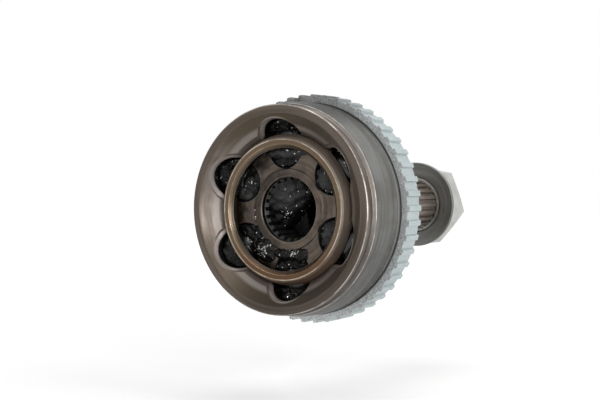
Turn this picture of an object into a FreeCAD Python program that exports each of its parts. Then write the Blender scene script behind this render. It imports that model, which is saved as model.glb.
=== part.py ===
import FreeCAD, Part

import math
import os

import Sketcher
from FreeCAD import Placement, Rotation, Vector

# Fixed ball joint for the wheel end of a drive shaft, in millimetres.
# The origin is the joint centre. The stub axle points along +Y and the open
# mouth of the bell along -Y. Angles round the axis run from +X towards +Z.

DRIVING_SIZES = [
    ("ball_count", 6, "balls, tracks and cage windows"),
    ("ball_radius", 8.73, "ball"),
    ("pitch_radius", 29.5, "joint axis to ball centre at rest"),
    ("track_offset", 4.0, "joint centre to the centre of each track circle"),
    ("first_ball_angle", 34, "angle of the first ball round the axis"),
    ("track_gap", 0.2, "ball to track wall"),
    ("outer_track_sweep", 93, "angle that an outer track covers on its circle"),
    ("inner_track_sweep", 120, "angle that an inner track covers on its circle"),
    ("socket_margin", 3.5, "circle of the ball centres to the bell's socket"),
    ("seat_gap", 0.25, "cage in its socket, and inner race in the cage"),
    ("cage_wall", 4.5, "cage wall"),
    ("cage_half_width", 13.8, "joint centre to each end face of the cage"),
    ("cage_edge", 0.6, "chamfer outside the cage ends"),
    ("cage_bevel", 1.6, "chamfer inside the cage ends"),
    ("window_gap", 0.4, "ball to window, along the axis"),
    ("window_slack", 1.5, "ball to window, round the axis"),
    ("window_corner", 5.0, "corner radius of a window"),
    ("race_front", 8.0, "joint centre to the front face of the inner race"),
    ("race_rear", 12.0, "joint centre to the rear face of the inner race"),
    ("race_edge", 0.5, "chamfer where the race faces meet its sphere"),
    ("race_tooth_count", 24, "teeth in the bore of the inner race"),
    ("race_spline_radius", 12.3, "tips of the teeth in the bore"),
    ("race_spline_depth", 1.1, "height of the teeth in the bore"),
    ("race_space_width", 1.9, "space between two of those teeth at their tips"),
    ("boss_radius", 17.2, "boss round the bore, on the front of the inner race"),
    ("boss_height", 0.45, "boss round the bore, on the front of the inner race"),
    ("bore_step", 1.2, "bore teeth to the plain entry of the bore"),
    ("bore_entry", 2.0, "length of the plain entry"),
    ("bore_chamfer", 0.4, "chamfer at the front of the bore"),
    ("bore_back_chamfer", 1.4, "chamfer at the rear of the bore"),
    ("mouth_depth", 17.5, "joint centre to the rim of the bell"),
    ("bell_wall", 6.3, "tracks to the outside of the bell"),
    ("rim_drop", 1.7, "rim below the bell body, in radius"),
    ("rim_width", 3.5, "flat face of the rim"),
    ("rim_edge", 0.5, "chamfer on the outside of the rim"),
    ("flare_depth", 7.6, "rim to the inner end of the flared entry"),
    ("lip_width", 1.8, "lip between the flare and the socket, in radius"),
    ("lip_length", 2.3, "lip between the flare and the socket, along the axis"),
    ("track_bevel_reach", 9.8, "middle of a track mouth to the rim of its bevel"),
    ("track_bevel_depth", 1.2, "bevel of a track mouth, below the flare"),
    ("track_bevel_lean", 34, "angle from the joint axis to the axis of each bevel"),
    ("boot_setback", 1.7, "rim to the seat of the boot"),
    ("boot_width", 3.0, "seat of the boot"),
    ("boot_depth", 0.6, "seat of the boot below the rim, in radius"),
    ("boot_slope", 1.2, "length of the slope at the end of the boot seat"),
    ("crest_drop", 1.1, "crest behind the boot seat below the bell body"),
    ("crest_length", 7.1, "length of the taper from the crest to the body"),
    ("floor_gap", 1.25, "inner race to the floor of the bell"),
    ("floor_wall", 4.3, "floor of the bell to the bearing shoulder"),
    ("back_wall", 9.0, "tracks to the rounded back of the bell"),
    ("ring_setback", 24.2, "rim to the front of the toothed ring"),
    ("ring_width", 10.3, "toothed ring"),
    ("ring_gap", 1.7, "bell body to the front of the toothed ring"),
    ("ring_seat_drop", 1.0, "seat of the toothed ring below the bell body"),
    ("ring_height", 4.75, "seat to the tips of the ring's teeth"),
    ("ring_edge", 0.5, "chamfer at the rear of the ring's bore"),
    ("ring_lead", 1.3, "chamfer at the front of the ring's bore"),
    ("ring_tooth_count", 50, "teeth on the ring"),
    ("ring_tooth_height", 1.0, "teeth on the ring"),
    ("ring_turn", 0.8, "angle of the first tooth space of the ring from +Z"),
    ("ring_space_width", 3.45, "bottom of the space between two ring teeth"),
    ("ring_space_lean", 0.35, "lean of each tooth flank over its height"),
    ("shoulder_height", 1.5, "bearing shoulder above the back of the bell"),
    ("shoulder_radius", 26.0, "bearing shoulder"),
    ("journal_radius", 15.0, "smooth length of the stub"),
    ("journal_length", 11.5, "smooth length of the stub"),
    ("journal_fillet", 2.0, "fillet between shoulder and stub"),
    ("stub_spline_radius", 12.9, "tips of the stub's teeth"),
    ("stub_spline_depth", 1.2, "height of the stub's teeth"),
    ("stub_spline_length", 57.8, "toothed length of the stub"),
    ("stub_tooth_count", 22, "teeth on the stub"),
    ("stub_space_width", 1.3, "bottom of the space between two stub teeth"),
    ("stub_space_lean", 0.45, "lean of each stub tooth flank over its height"),
    ("thread_radius", 12.0, "threaded end of the stub"),
    ("thread_length", 17.2, "threaded end of the stub"),
    ("relief_length", 2.0, "undercut between teeth and thread"),
    ("relief_depth", 1.1, "undercut below the thread"),
    ("end_chamfer", 1.2, "chamfer at the end of the stub"),
    ("centre_mouth", 4.5, "centre hole at the end of the stub, its mouth"),
    ("centre_radius", 1.6, "centre hole, its straight part"),
    ("centre_length", 3.0, "centre hole, its straight part"),
    ("washer_reach", 0.3, "washer beyond the corners of the nut"),
    ("washer_thickness", 1.2, "washer held on the nut"),
    ("washer_clearance", 0.9, "washer bore to the stub's teeth"),
    ("washer_edge", 0.4, "chamfer on the washer"),
    ("washer_standoff", 0.9, "end of the stub's teeth to the washer"),
    ("nut_gap", 0.05, "washer to nut, and nut bore to thread"),
    ("nut_height", 14.5, "nut without its collar"),
    ("nut_flats", 36.0, "across the flats of the nut"),
    ("nut_turn", 50.0, "angle of one corner of the nut round the axis"),
    ("flange_drop", 0.2, "nut flange below the washer, in radius"),
    ("flange_rim", 1.2, "straight rim of the nut flange"),
    ("flange_cone", 3.4, "cone from the flange to the flats"),
    ("nut_chamfer", 1.1, "length of the chamfer at the outer end of the nut"),
    ("collar_length", 1.0, "collar of the nut inside the washer"),
    ("collar_gap", 0.5, "collar to washer"),
]


class Size:
    """A length, angle or count that knows its number and its expression."""

    def __init__(self, number, text):
        self.number = number
        self.text = text

    def __add__(self, other):
        other = as_size(other)
        return Size(self.number + other.number, f"({self.text} + {other.text})")

    def __sub__(self, other):
        other = as_size(other)
        return Size(self.number - other.number, f"({self.text} - {other.text})")

    def __mul__(self, other):
        other = as_size(other)
        return Size(self.number * other.number, f"({self.text} * {other.text})")

    def __truediv__(self, other):
        other = as_size(other)
        return Size(self.number / other.number, f"({self.text} / {other.text})")

    def __neg__(self):
        return Size(-self.number, f"(0 - {self.text})")

    def __radd__(self, other):
        return as_size(other) + self

    def __rsub__(self, other):
        return as_size(other) - self

    def __rmul__(self, other):
        return as_size(other) * self

    def __rtruediv__(self, other):
        return as_size(other) / self


def as_size(value):
    if isinstance(value, Size):
        return value
    return Size(float(value), f"{float(value)}")


def root(value):
    return Size(math.sqrt(value.number), f"sqrt({value.text})")


def cosine(angle):
    return Size(math.cos(math.radians(angle.number)), f"cos({angle.text})")


def sine(angle):
    return Size(math.sin(math.radians(angle.number)), f"sin({angle.text})")


def height_on_circle(radius, across):
    """Where a circle about the origin stands above a given distance across."""
    return root(radius * radius - across * across)


doc = FreeCAD.newDocument("cv_joint")
sheet = doc.addObject("Spreadsheet::Sheet", "sizes")
size = {}
for row, (name, number, meaning) in enumerate(DRIVING_SIZES, start=1):
    sheet.set(f"A{row}", meaning)
    sheet.set(f"B{row}", str(number))
    sheet.setAlias(f"B{row}", name)
    size[name] = Size(number, f"sizes.{name}")
doc.recompute()

ZERO = as_size(0)


# Sketches and features

def new_body(name):
    body = doc.addObject("PartDesign::Body", name)
    body.Label = name
    return body


def origin_part(body, role):
    return next(part for part in body.Origin.OriginFeatures if part.Role == role)


def new_sketch(body, name, plane, turn_axis=Vector(0, 0, 1), turn=ZERO, lift=ZERO):
    """Sketch on an origin plane, turned about an axis of the plane and lifted off it."""
    sketch = body.newObject("Sketcher::SketchObject", name)
    sketch.AttachmentSupport = [(origin_part(body, plane), "")]
    sketch.MapMode = "FlatFace"
    start = Vector(0, 0, lift.number)
    sketch.AttachmentOffset = Placement(start, Rotation(turn_axis, turn.number))
    if lift is not ZERO:
        sketch.setExpression("AttachmentOffset.Base.z", lift.text)
    if turn is not ZERO:
        sketch.setExpression("AttachmentOffset.Rotation.Angle", turn.text)
    return sketch


def hold(sketch, kind, geometry, point, value):
    """Dimension one coordinate or one radius, and bind it to its expression."""
    if kind == "Radius":
        index = sketch.addConstraint(Sketcher.Constraint(kind, geometry, value.number))
    else:
        index = sketch.addConstraint(Sketcher.Constraint(kind, geometry, point, value.number))
    sketch.setExpression(f"Constraints[{index}]", value.text)


def hold_point(sketch, geometry, point, place):
    """Hold a point by its two coordinates, or on an axis where one is zero."""
    across, along = place
    if across is ZERO:
        sketch.addConstraint(Sketcher.Constraint("PointOnObject", geometry, point, -2))
    else:
        hold(sketch, "DistanceX", geometry, point, across)
    if along is ZERO:
        sketch.addConstraint(Sketcher.Constraint("PointOnObject", geometry, point, -1))
    else:
        hold(sketch, "DistanceY", geometry, point, along)


def add_outline(sketch, corners, arcs=None):
    """Closed outline. An arc is listed under its first corner as centre and sense."""
    arcs = arcs or {}
    edges = []
    for index, corner in enumerate(corners):
        following = corners[(index + 1) % len(corners)]
        start = Vector(corner[0].number, corner[1].number, 0)
        end = Vector(following[0].number, following[1].number, 0)
        if index not in arcs:
            geometry = sketch.addGeometry(Part.LineSegment(start, end))
            edges.append((geometry, 1, 2))
            continue
        centre_place, radius, sense = arcs[index]
        centre = Vector(centre_place[0].number, centre_place[1].number, 0)
        circle = Part.Circle(centre, Vector(0, 0, 1), radius.number)
        first, last = (start, end) if sense == "left" else (end, start)
        first_angle = math.atan2(first.y - centre.y, first.x - centre.x)
        last_angle = math.atan2(last.y - centre.y, last.x - centre.x)
        if last_angle < first_angle:
            last_angle += 2 * math.pi
        geometry = sketch.addGeometry(Part.ArcOfCircle(circle, first_angle, last_angle))
        edges.append((geometry, 1, 2) if sense == "left" else (geometry, 2, 1))
        hold(sketch, "Radius", geometry, 0, radius)
    for index, (geometry, first_point, last_point) in enumerate(edges):
        after, after_point, _ = edges[(index + 1) % len(edges)]
        sketch.addConstraint(
            Sketcher.Constraint("Coincident", geometry, last_point, after, after_point))
        hold_point(sketch, geometry, first_point, corners[index])


def add_circle(sketch, centre, radius):
    place = Vector(centre[0].number, centre[1].number, 0)
    geometry = sketch.addGeometry(Part.Circle(place, Vector(0, 0, 1), radius.number))
    hold_point(sketch, geometry, 3, centre)
    hold(sketch, "Radius", geometry, 0, radius)


def add_axis(sketch, start, end):
    """Construction line that a section is turned about."""
    places = [Vector(x.number, y.number, 0) for x, y in (start, end)]
    geometry = sketch.addGeometry(Part.LineSegment(*places), True)
    hold_point(sketch, geometry, 1, start)
    hold_point(sketch, geometry, 2, end)


def revolve(body, name, sketch, kind="PartDesign::Revolution", axis="V_Axis"):
    """Turn a half section right round the joint axis or a line of its sketch."""
    feature = body.newObject(kind, name)
    feature.Profile = sketch
    feature.ReferenceAxis = (sketch, [axis])
    feature.Angle = 360
    return finish(body, feature)


def finish(body, feature):
    """Recompute one feature and stop where it removed or added nothing."""
    body.Tip = feature
    doc.recompute()
    base = getattr(feature, "BaseFeature", None)
    if base is not None and abs(feature.Shape.Volume - base.Shape.Volume) < 1e-6:
        raise RuntimeError(f"{feature.Name} changes nothing")
    return feature


def extrude(body, kind, name, sketch, length, both_ways=True, back=False):
    feature = body.newObject(kind, name)
    feature.Profile = sketch
    feature.SideType = "Symmetric" if both_ways else "One side"
    feature.Reversed = back
    feature.Length = length.number
    feature.setExpression("Length", length.text)
    return finish(body, feature)


def repeat_round_axis(body, name, feature, count):
    pattern = body.newObject("PartDesign::PolarPattern", name)
    pattern.Originals = [feature]
    pattern.Axis = (origin_part(body, "Y_Axis"), [""])
    pattern.Angle = 360
    pattern.Occurrences = int(count.number)
    pattern.setExpression("Occurrences", count.text)
    return finish(body, pattern)


def cut_tracks(body, name, centre_height, sweep):
    """Ring-shaped ball tracks, each a round tube on a circle in a plane of the axis."""
    sketch = new_sketch(
        body, f"{name}_section", "XZ_Plane",
        turn=size["first_ball_angle"] - 90, lift=-centre_height)
    add_circle(sketch, (ZERO, track_circle), track_tube)
    groove = body.newObject("PartDesign::Groove", name)
    groove.Profile = sketch
    groove.ReferenceAxis = (sketch, ["H_Axis"])
    groove.Midplane = True
    groove.Angle = sweep.number
    groove.setExpression("Angle", sweep.text)
    finish(body, groove)
    repeat_round_axis(body, f"{name}_pattern", groove, size["ball_count"])


def bevel_track_mouths(body, flare_start, flare_end):
    """Conical bevel at 45 degrees where each track runs out through the flare."""
    lean = size["track_bevel_lean"]
    reach = size["track_bevel_reach"]
    depth = size["track_bevel_depth"]
    above = depth * 3
    flare_slope = (flare_end[1] - flare_start[1]) / (flare_end[0] - flare_start[0])
    middle = (size["pitch_radius"],
              flare_start[1] + (size["pitch_radius"] - flare_start[0]) * flare_slope)

    def place(out, deep):
        """A place measured square to the axis of the bevel and along it."""
        return (middle[0] + cosine(lean) * out + sine(lean) * deep,
                middle[1] - sine(lean) * out + cosine(lean) * deep)

    sketch = new_sketch(
        body, "track_bevel_section", "XY_Plane",
        turn_axis=Vector(0, 1, 0), turn=-size["first_ball_angle"])
    add_axis(sketch, place(ZERO, -above), place(ZERO, depth))
    add_outline(sketch, [
        place(ZERO, -above),
        place(reach + above, -above),
        place(reach - depth, depth),
        place(ZERO, depth),
    ])
    bevel = revolve(body, "track_bevel", sketch, "PartDesign::Groove", "Axis0")
    repeat_round_axis(body, "track_bevel_pattern", bevel, size["ball_count"])


def cut_tooth_spaces(body, name, floor, top, floor_width, top_width, middle, length, count,
                     turn=ZERO):
    """Spaces between teeth, cut along the axis and repeated round it."""
    sketch = new_sketch(body, f"{name}_section", "XZ_Plane", turn=turn, lift=-middle)
    add_outline(sketch, [
        (floor_width / 2, floor),
        (top_width / 2, top),
        (-top_width / 2, top),
        (-floor_width / 2, floor),
    ])
    pocket = extrude(body, "PartDesign::Pocket", name, sketch, length)
    repeat_round_axis(body, f"{name}_pattern", pocket, count)


# Sizes that follow from the driving ones

track_circle = root(size["pitch_radius"] * size["pitch_radius"]
                    + size["track_offset"] * size["track_offset"])
track_tube = size["ball_radius"] + size["track_gap"]
track_reach = track_circle + track_tube

socket_radius = size["pitch_radius"] + size["socket_margin"]
cage_outer = socket_radius - size["seat_gap"]
cage_inner = cage_outer - size["cage_wall"]
race_radius = cage_inner - size["seat_gap"]

mouth = -size["mouth_depth"]
body_radius = track_reach + size["bell_wall"]
rim_radius = body_radius - size["rim_drop"]
floor_height = race_radius + size["floor_gap"]
shoulder = floor_height + size["floor_wall"]

ring_front = mouth + size["ring_setback"]
ring_rear = ring_front + size["ring_width"]
ring_seat = body_radius - size["ring_seat_drop"]
ring_tip = ring_seat + size["ring_height"]

journal_end = shoulder + size["journal_length"]
spline_start = journal_end + (size["journal_radius"] - size["stub_spline_radius"])
spline_end = spline_start + size["stub_spline_length"]
spline_floor = size["stub_spline_radius"] - size["stub_spline_depth"]
thread_start = spline_end + size["relief_length"]
stub_end = thread_start + size["thread_length"]

washer_front = spline_end + size["washer_standoff"]
washer_rear = washer_front + size["washer_thickness"]
washer_bore = size["stub_spline_radius"] + size["washer_clearance"]
corner_radius = size["nut_flats"] / math.sqrt(3)
washer_radius = corner_radius + size["washer_reach"]
nut_front = washer_rear + size["nut_gap"]
nut_rear = nut_front + size["nut_height"]


def make_outer_race():
    """Bell and stub axle, one forging, with six ball tracks and a splined stub."""
    body = new_body("outer_race")
    land_height = mouth + size["flare_depth"]
    land_radius = height_on_circle(socket_radius, land_height)
    flare_radius = rim_radius - size["rim_width"]
    flare_start = land_radius + size["lip_width"], land_height - size["lip_length"]
    flare_end = flare_radius, mouth
    floor_radius = height_on_circle(socket_radius, floor_height)
    boot_start = mouth + size["boot_setback"]
    boot_end = boot_start + size["boot_width"]
    boot_radius = rim_radius - size["boot_depth"]
    crest_height = boot_end + size["boot_slope"]
    crest_radius = body_radius - size["crest_drop"]
    body_end = ring_front - size["ring_gap"]
    seat_end = ring_rear + size["ring_edge"]
    back_radius = track_reach + size["back_wall"]
    back_height = shoulder - size["shoulder_height"]
    thread_chamfered = size["thread_radius"] - size["end_chamfer"]
    relief_radius = size["thread_radius"] - size["relief_depth"]
    centre_cone = (size["centre_mouth"] - size["centre_radius"]) * math.sqrt(3)
    centre_deep = stub_end - centre_cone - size["centre_length"]

    def back_place(height):
        """A place on the rounded back, which is concentric with the track circles."""
        above = height + size["track_offset"]
        return root(back_radius * back_radius - above * above), height

    corners = [
        (ZERO, floor_height),
        (floor_radius, floor_height),
        (land_radius, land_height),
        flare_start,
        flare_end,
        (rim_radius - size["rim_edge"], mouth),
        (rim_radius, mouth + size["rim_edge"]),
        (rim_radius, boot_start),
        (boot_radius, boot_start + size["boot_depth"]),
        (boot_radius, boot_end),
        (crest_radius, crest_height),
        (body_radius, crest_height + size["crest_length"]),
        (body_radius, body_end - size["ring_seat_drop"]),
        (ring_seat, body_end),
        (ring_seat, seat_end),
        back_place(seat_end + size["ring_edge"]),
        back_place(back_height),
        (size["shoulder_radius"], back_height),
        (size["shoulder_radius"], shoulder),
        (size["journal_radius"] + size["journal_fillet"], shoulder),
        (size["journal_radius"], shoulder + size["journal_fillet"]),
        (size["journal_radius"], journal_end),
        (size["stub_spline_radius"], spline_start),
        (size["stub_spline_radius"], spline_end - size["stub_spline_depth"]),
        (relief_radius, spline_end),
        (relief_radius, thread_start),
        (size["thread_radius"], thread_start + size["relief_depth"]),
        (size["thread_radius"], stub_end - size["end_chamfer"]),
        (thread_chamfered, stub_end),
        (size["centre_mouth"], stub_end),
        (size["centre_radius"], stub_end - centre_cone),
        (size["centre_radius"], centre_deep),
        (ZERO, centre_deep - size["centre_radius"] / math.sqrt(3)),
    ]
    centre = (ZERO, ZERO)
    back_centre = (ZERO, -size["track_offset"])
    fillet_centre = (size["journal_radius"] + size["journal_fillet"],
                     shoulder + size["journal_fillet"])
    arcs = {
        1: (centre, socket_radius, "right"),
        15: (back_centre, back_radius, "left"),
        19: (fillet_centre, size["journal_fillet"], "right"),
    }
    section = new_sketch(body, "bell_section", "XY_Plane")
    add_outline(section, corners, arcs)
    revolve(body, "bell_and_stub", section)
    cut_tracks(body, "outer_track", -size["track_offset"], size["outer_track_sweep"])
    bevel_track_mouths(body, flare_start, flare_end)
    cut_tooth_spaces(
        body, "stub_space", spline_floor, size["stub_spline_radius"] + size["stub_spline_depth"],
        size["stub_space_width"], size["stub_space_width"] + size["stub_space_lean"] * 4,
        (spline_start + spline_end) / 2, spline_end - spline_start, size["stub_tooth_count"])
    return body


def make_abs_ring():
    """Toothed ring pressed on the back of the bell, read by a speed sensor."""
    body = new_body("abs_ring")
    section = new_sketch(body, "ring_section", "XY_Plane")
    add_outline(section, [
        (ring_seat, ring_front + size["ring_lead"]),
        (ring_seat + size["ring_lead"], ring_front),
        (ring_tip, ring_front),
        (ring_tip, ring_rear),
        (ring_seat + size["ring_edge"], ring_rear),
        (ring_seat, ring_rear - size["ring_edge"]),
    ])
    revolve(body, "ring_blank", section)
    root_radius = ring_tip - size["ring_tooth_height"]
    cut_tooth_spaces(
        body, "ring_space", root_radius, ring_tip + size["ring_tooth_height"],
        size["ring_space_width"], size["ring_space_width"] + size["ring_space_lean"] * 4,
        (ring_front + ring_rear) / 2, size["ring_width"] * 2, size["ring_tooth_count"],
        turn=size["ring_turn"])
    return body


def make_cage():
    """Spherical band with a rounded window for each ball."""
    body = new_body("cage")
    end = size["cage_half_width"]
    edge = size["cage_edge"]
    outer_edge = height_on_circle(cage_outer, end - edge)
    bevel = size["cage_bevel"]
    inner_edge = height_on_circle(cage_inner, end - bevel)
    section = new_sketch(body, "cage_section", "XY_Plane")
    corners = [
        (inner_edge, -(end - bevel)),
        (inner_edge + bevel, -end),
        (outer_edge - edge, -end),
        (outer_edge, -(end - edge)),
        (outer_edge, end - edge),
        (outer_edge - edge, end),
        (inner_edge + bevel, end),
        (inner_edge, end - bevel),
    ]
    centre = (ZERO, ZERO)
    arcs = {3: (centre, cage_outer, "left"), 7: (centre, cage_inner, "right")}
    add_outline(section, corners, arcs)
    revolve(body, "cage_band", section)

    half_length = size["ball_radius"] + size["window_slack"]
    half_height = size["ball_radius"] + size["window_gap"]
    corner = size["window_corner"]
    window = new_sketch(
        body, "window_section", "XY_Plane",
        turn_axis=Vector(0, 1, 0), turn=90 - size["first_ball_angle"])
    inner_length = half_length - corner
    inner_height = half_height - corner
    add_outline(window, [
        (half_length, -inner_height),
        (half_length, inner_height),
        (inner_length, half_height),
        (-inner_length, half_height),
        (-half_length, inner_height),
        (-half_length, -inner_height),
        (-inner_length, -half_height),
        (inner_length, -half_height),
    ], {
        1: ((inner_length, inner_height), corner, "left"),
        3: ((-inner_length, inner_height), corner, "left"),
        5: ((-inner_length, -inner_height), corner, "left"),
        7: ((inner_length, -inner_height), corner, "left"),
    })
    opening = extrude(
        body, "PartDesign::Pocket", "window", window, cage_outer + size["cage_wall"],
        both_ways=False, back=True)
    repeat_round_axis(body, "window_pattern", opening, size["ball_count"])
    return body


def make_inner_race():
    """Star-shaped race with six outside tracks and a splined bore for the shaft."""
    body = new_body("inner_race")
    front = -size["race_front"]
    rear = size["race_rear"]
    edge = size["race_edge"]
    tooth_tip = size["race_spline_radius"]
    entry_radius = tooth_tip + size["bore_step"]
    boss_front = front - size["boss_height"]
    entry_start = boss_front + size["bore_chamfer"]
    entry_end = entry_start + size["bore_entry"]
    front_edge = height_on_circle(race_radius, front + edge)
    rear_edge = height_on_circle(race_radius, rear - edge)
    section = new_sketch(body, "race_section", "XY_Plane")
    add_outline(section, [
        (entry_radius, entry_start),
        (entry_radius + size["bore_chamfer"], boss_front),
        (size["boss_radius"] - size["boss_height"], boss_front),
        (size["boss_radius"], front),
        (front_edge - edge, front),
        (front_edge, front + edge),
        (rear_edge, rear - edge),
        (rear_edge - edge, rear),
        (tooth_tip + size["bore_back_chamfer"], rear),
        (tooth_tip, rear - size["bore_back_chamfer"]),
        (tooth_tip, entry_end + size["bore_step"]),
        (entry_radius, entry_end),
    ], {5: ((ZERO, ZERO), race_radius, "left")})
    revolve(body, "race_blank", section)
    cut_tracks(body, "inner_track", size["track_offset"], size["inner_track_sweep"])
    half_lean = size["race_space_width"] / 4
    cut_tooth_spaces(
        body, "bore_space", tooth_tip + size["race_spline_depth"], tooth_tip - half_lean,
        size["race_space_width"] - half_lean, size["race_space_width"],
        (front + rear) / 2, size["race_front"] * 2 + size["race_rear"] * 2,
        size["race_tooth_count"])
    return body


def make_balls():
    """One ball for each track, centred on the pitch circle."""
    balls = []
    for index in range(int(size["ball_count"].number)):
        ball = doc.addObject("Part::Sphere", f"ball_{index + 1}")
        ball.Label = ball.Name
        ball.setExpression("Radius", size["ball_radius"].text)
        angle = size["first_ball_angle"] + index * 360 / size["ball_count"]
        place = size["pitch_radius"] * cosine(angle), size["pitch_radius"] * sine(angle)
        ball.setExpression("Placement.Base.x", place[0].text)
        ball.setExpression("Placement.Base.z", place[1].text)
        balls.append(ball)
    return balls


def make_nut_washer():
    """Flat washer that the hub nut carries on its collar."""
    body = new_body("nut_washer")
    edge = size["washer_edge"]
    section = new_sketch(body, "washer_section", "XY_Plane")
    add_outline(section, [
        (washer_bore, washer_front + edge),
        (washer_bore + edge, washer_front),
        (washer_radius - edge, washer_front),
        (washer_radius, washer_front + edge),
        (washer_radius, washer_rear),
        (washer_bore, washer_rear),
    ])
    revolve(body, "washer_turned", section)
    return body


def make_hub_nut():
    """Hexagon nut with a conical flange and a collar that holds its washer."""
    body = new_body("hub_nut")
    flange_radius = washer_radius - size["flange_drop"]
    flat_radius = size["nut_flats"] / 2
    collar_radius = washer_bore - size["collar_gap"]
    rim_end = nut_front + size["flange_rim"]
    section = new_sketch(body, "flange_section", "XY_Plane")
    add_outline(section, [
        (ZERO, nut_front - size["collar_length"]),
        (collar_radius, nut_front - size["collar_length"]),
        (collar_radius, nut_front),
        (flange_radius, nut_front),
        (flange_radius, rim_end),
        (flat_radius, rim_end + size["flange_cone"]),
        (ZERO, rim_end + size["flange_cone"]),
    ])
    revolve(body, "flange_and_collar", section)

    hexagon = new_sketch(
        body, "hexagon", "XZ_Plane", turn=size["nut_turn"], lift=-(rim_end + nut_rear) / 2)
    corners = []
    for index in range(6):
        angle = as_size(60 * index)
        across = corner_radius * cosine(angle)
        along = corner_radius * sine(angle) if index % 3 else ZERO
        corners.append((across, along))
    add_outline(hexagon, corners)
    extrude(body, "PartDesign::Pad", "flats", hexagon, nut_rear - rim_end)

    chamfer = new_sketch(body, "corner_chamfer", "XY_Plane")
    beyond = corner_radius + size["nut_chamfer"]
    add_outline(chamfer, [
        (flat_radius, nut_rear),
        (corner_radius, nut_rear - size["nut_chamfer"]),
        (beyond, nut_rear - size["nut_chamfer"]),
        (beyond, nut_rear + size["nut_chamfer"]),
        (flat_radius, nut_rear + size["nut_chamfer"]),
    ])
    revolve(body, "turned_corners", chamfer, "PartDesign::Groove")

    bore = new_sketch(body, "bore", "XZ_Plane", lift=-nut_rear)
    add_circle(bore, (ZERO, ZERO), size["thread_radius"] + size["nut_gap"])
    extrude(
        body, "PartDesign::Pocket", "threaded_bore", bore,
        (size["nut_height"] + size["collar_length"]) * 4)
    return body


def check_and_write(parts):
    for item in doc.Objects:
        if "Invalid" in item.State or "Error" in item.State:
            raise RuntimeError(f"{item.Label} did not recompute: {item.State}")
    os.makedirs("parts", exist_ok=True)
    for part in parts:
        shape = part.Shape
        if shape.isNull() or not shape.isValid() or len(shape.Solids) != 1:
            raise RuntimeError(f"{part.Label} is not one valid solid")
    for part in parts:
        part.Shape.exportStep(f"parts/{part.Label}.step")


pieces = [
    make_outer_race(),
    make_abs_ring(),
    make_cage(),
    make_inner_race(),
    make_nut_washer(),
    make_hub_nut(),
] + make_balls()
doc.recompute()
check_and_write(pieces)
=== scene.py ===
import math

import bmesh
import bpy
import numpy as np
from mathutils import Matrix, Vector


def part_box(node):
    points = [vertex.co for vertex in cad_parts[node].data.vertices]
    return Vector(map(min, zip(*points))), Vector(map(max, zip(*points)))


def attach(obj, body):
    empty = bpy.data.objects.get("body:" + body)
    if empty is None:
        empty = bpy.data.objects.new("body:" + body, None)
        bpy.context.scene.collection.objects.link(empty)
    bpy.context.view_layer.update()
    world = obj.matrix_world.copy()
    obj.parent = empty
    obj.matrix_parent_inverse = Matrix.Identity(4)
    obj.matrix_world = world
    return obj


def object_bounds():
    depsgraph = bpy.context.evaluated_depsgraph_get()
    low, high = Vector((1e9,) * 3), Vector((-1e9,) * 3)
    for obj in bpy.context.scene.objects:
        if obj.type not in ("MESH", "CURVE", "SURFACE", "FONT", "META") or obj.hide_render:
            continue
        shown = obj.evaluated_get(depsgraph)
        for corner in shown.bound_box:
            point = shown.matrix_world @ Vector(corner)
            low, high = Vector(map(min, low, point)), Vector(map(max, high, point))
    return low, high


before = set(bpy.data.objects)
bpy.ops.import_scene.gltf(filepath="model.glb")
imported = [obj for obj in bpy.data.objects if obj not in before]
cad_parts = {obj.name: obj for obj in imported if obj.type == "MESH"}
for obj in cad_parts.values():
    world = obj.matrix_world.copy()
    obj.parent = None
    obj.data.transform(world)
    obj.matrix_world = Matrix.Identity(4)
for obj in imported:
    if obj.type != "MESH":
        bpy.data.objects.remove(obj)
cad_low, cad_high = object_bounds()


# Bell and stub axle
# One forging of case-hardened steel, turned outside and on the flare of its mouth, with ground
# ball tracks, rolled splines and a threaded end. It lies under a film of brown oil, and painted
# shade darkens the top and bottom of its flare, its rim face, its lower right and the top of its
# outside.

bell_steel_colour = (0.190, 0.163, 0.145)
bell_shade_colour = (0.108, 0.090, 0.076)
bell_side_colour = (0.205, 0.207, 0.199)
bell_side_shade_colour = (0.132, 0.125, 0.112)
bell_oil_and_shade_colour = (0.077, 0.060, 0.043)
bell_forged_colour = (0.079, 0.074, 0.068)
bell_spline_colour = (0.260, 0.217, 0.189)
bell_lip_colour = (0.266, 0.233, 0.215)
bell_bronze_colour = (0.141, 0.096, 0.060)
bell_seat_colour = (0.340, 0.340, 0.330)
bell_worn_colour = (0.561, 0.510, 0.468)
grease_colour = (0.0060, 0.0058, 0.0055)

first_track_angle = math.radians(34)
track_spacing = math.radians(60)
track_circle_radius = 0.02977
track_tube_radius = 0.00893
track_offset = 0.004
socket_radius = 0.033
mouth_height = cad_low.y
flare_end_radius = 0.0398
side_start_radius = 0.0410
ring_seat_start = 0.0049
ring_seat_radius = 0.0435
throat_start = -0.0085
throat_end = -0.0100
land_radius = 0.0345
spline_start = 0.0455
socket_mouth_height = -0.0088
socket_floor_height = 0.031
shade_slope_across = 0.45
shade_slope_down = 0.90
worn_circles = ((0.0430, -0.01725), (0.0439, -0.0116))
forged_start = 0.0172
journal_radius = 0.0152
spline_radius = 0.0130
thread_start = 0.1070
thread_pitch = 0.0015
thread_depth = 0.0008
lip_roundness = 1.1


def feed(tree, source, socket):
    """Link a socket, or set a plain number or colour on it."""
    if isinstance(source, bpy.types.NodeSocket):
        tree.links.new(source, socket)
    elif socket.type == "RGBA":
        socket.default_value = (*source, 1.0)
    else:
        socket.default_value = source


def math_of(tree, operation, first, second=0.0):
    node = tree.nodes.new("ShaderNodeMath")
    node.operation = operation
    feed(tree, first, node.inputs[0])
    feed(tree, second, node.inputs[1])
    return node.outputs[0]


def times(tree, first, second):
    return math_of(tree, "MULTIPLY", first, second)


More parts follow.
